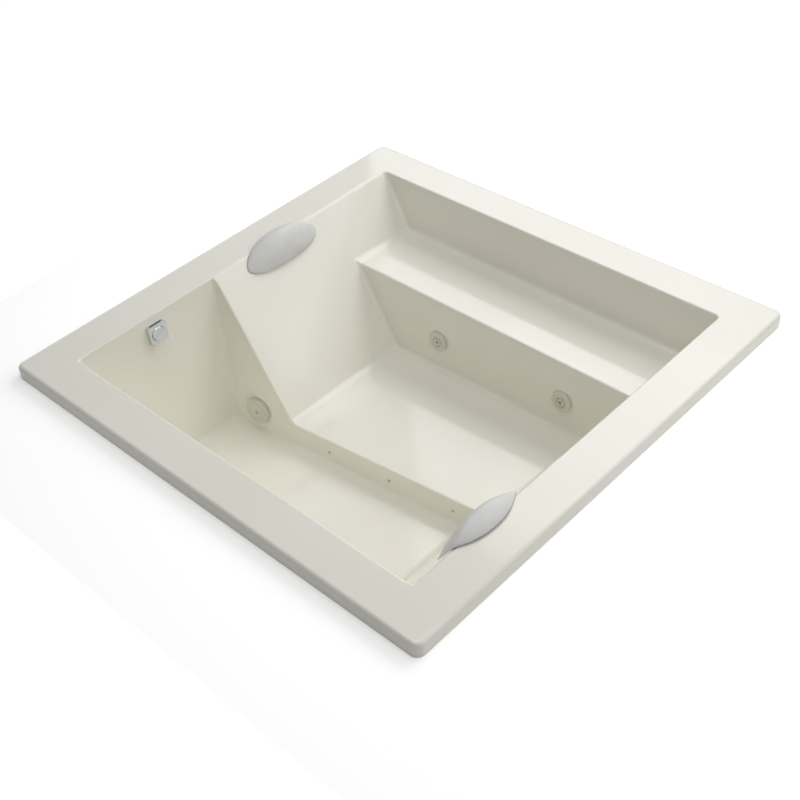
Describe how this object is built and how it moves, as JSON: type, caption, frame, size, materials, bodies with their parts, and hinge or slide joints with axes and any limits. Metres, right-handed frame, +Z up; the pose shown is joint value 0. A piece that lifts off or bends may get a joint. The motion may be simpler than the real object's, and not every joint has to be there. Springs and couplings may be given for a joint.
{
  "type": "bathtub",
  "caption": "Square drop-in jetted bath with opposed sloping backrests, a long shelf, a sunk channel, head cushions, and its pump and pipework on a timber base.",
  "frame": {"origin": "centre of the square rim's footprint, on the floor under the base runners", "axes": "+Z up; X along the bathers' length with the drain and overflow end at -X; Y across with the long shelf at +Y"},
  "size_m": [1.524, 1.524, 0.604],
  "materials": {
    "acrylic": "cast acrylic sheet over a glass fibre backing, high gloss, warm white",
    "moulded_trim": "glossy moulded plastic in the colour of the bath",
    "timber": "planed softwood",
    "plywood": "board with a plain face",
    "resin_bed": "poured filled resin, matte",
    "cushion_skin": "soft moulded foam with a matte skin, light grey",
    "rubber": "black rubber",
    "chrome": "polished chrome plate",
    "steel": "zinc plated steel",
    "pump_plastic": "glass filled black plastic",
    "motor_paint": "dark grey enamel on a cast frame",
    "pipe_plastic": "white extruded pipe and moulded fittings"
  },
  "bodies": {
    "bath": {"tub_shell": "acrylic", "rim_batten_drain_end": "timber", "rim_batten_foot_end": "timber", "rim_batten_front": "timber", "rim_batten_back": "timber", "base_board": "plywood", "base_runners": "timber", "channel_bed": "resin_bed", "lounge_joists": "timber", "pillow_head": "cushion_skin", "pillow_foot": "cushion_skin", "pillow_cups": "rubber", "overflow_housing": "chrome", "overflow_gasket": "rubber", "overflow_elbow": "pipe_plastic", "overflow_pipe": "pipe_plastic", "waste_tee": "pipe_plastic", "waste_shoe": "pipe_plastic", "drain_gasket": "rubber", "drain_flange": "chrome", "stopper_cable": "rubber", "suction_cover": "moulded_trim", "suction_screw": "steel", "suction_body": "moulded_trim", "suction_gasket": "rubber", "suction_pipe": "pipe_plastic", "jet_fitting_1": "pipe_plastic", "jet_fitting_2": "pipe_plastic", "jet_fitting_3": "pipe_plastic", "jet_fitting_4": "pipe_plastic", "jet_gaskets": "rubber", "riser_nozzles": "moulded_trim", "nozzle_line": "pipe_plastic", "water_tee": "pipe_plastic", "water_pipe_back": "pipe_plastic", "water_pipe_front": "pipe_plastic", "water_pipe_links": "pipe_plastic", "air_line_back": "pipe_plastic", "air_line_front": "pipe_plastic", "pump_volute": "pump_plastic", "pump_seal_plate": "pump_plastic", "pump_motor": "motor_paint", "pump_fan_cover": "motor_paint", "pump_foot": "steel", "pump_bolts": "steel", "terminal_box": "pump_plastic"},
    "knob": {"overflow_knob": "chrome"},
    "stopper": {"drain_stopper": "chrome"},
    "trim_1": {"jet_trim_1": "moulded_trim"},
    "nozzle_1": {"jet_nozzle_1": "pipe_plastic"},
    "trim_2": {"jet_trim_2": "moulded_trim"},
    "nozzle_2": {"jet_nozzle_2": "pipe_plastic"},
    "trim_3": {"jet_trim_3": "moulded_trim"},
    "nozzle_3": {"jet_nozzle_3": "pipe_plastic"},
    "trim_4": {"jet_trim_4": "moulded_trim"},
    "nozzle_4": {"jet_nozzle_4": "pipe_plastic"},
    "rotor": {"pump_impeller": "steel", "pump_fan": "pump_plastic"}
  },
  "joints": [
    {"name": "knob_turn", "type": "hinge", "parent": "bath", "child": "knob", "pos_m": [-0.63028, -0.368, 0.512], "axis": [0.9969, 0, 0.0785], "range_deg": [0, 80]},
    {"name": "stopper_lift", "type": "slide", "parent": "bath", "child": "stopper", "axis": [-0.0201, 0, 0.9998], "range_m": [0, 0.01]},
    {"name": "jet_trim_1_turn", "type": "hinge", "parent": "bath", "child": "trim_1", "pos_m": [-0.171, 0.36295, 0.25103], "axis": [0, -0.9981, 0.061], "range_deg": [0, 90]},
    {"name": "jet_nozzle_1_tilt", "type": "hinge", "parent": "trim_1", "child": "nozzle_1", "pos_m": [-0.171, 0.36594, 0.25084], "axis": [1, 0, 0], "range_deg": [-12, 12]},
    {"name": "jet_trim_2_turn", "type": "hinge", "parent": "bath", "child": "trim_2", "pos_m": [0.312, 0.36369, 0.26309], "axis": [0, -0.9981, 0.061], "range_deg": [0, 90]},
    {"name": "jet_nozzle_2_tilt", "type": "hinge", "parent": "trim_2", "child": "nozzle_2", "pos_m": [0.312, 0.36668, 0.2629], "axis": [1, 0, 0], "range_deg": [-12, 12]},
    {"name": "jet_trim_3_turn", "type": "hinge", "parent": "bath", "child": "trim_3", "pos_m": [0.171, -0.59764, 0.2441], "axis": [0, 0.9936, 0.1132], "range_deg": [0, 90]},
    {"name": "jet_nozzle_3_tilt", "type": "hinge", "parent": "trim_3", "child": "nozzle_3", "pos_m": [0.171, -0.60062, 0.24376], "axis": [1, 0, 0], "range_deg": [-12, 12]},
    {"name": "jet_trim_4_turn", "type": "hinge", "parent": "bath", "child": "trim_4", "pos_m": [-0.312, -0.59764, 0.2441], "axis": [0, 0.9936, 0.1132], "range_deg": [0, 90]},
    {"name": "jet_nozzle_4_tilt", "type": "hinge", "parent": "trim_4", "child": "nozzle_4", "pos_m": [-0.312, -0.60062, 0.24376], "axis": [1, 0, 0], "range_deg": [-12, 12]},
    {"name": "pump_spin", "type": "hinge", "parent": "bath", "child": "rotor", "pos_m": [-0.49552, -0.00988, 0.12186], "axis": [0, 1, 0], "continuous": true}
  ],
  "couplings": [
    {"joint": "knob_turn", "follows": "stopper_lift", "rad_per_m": 139.5}
  ]
}
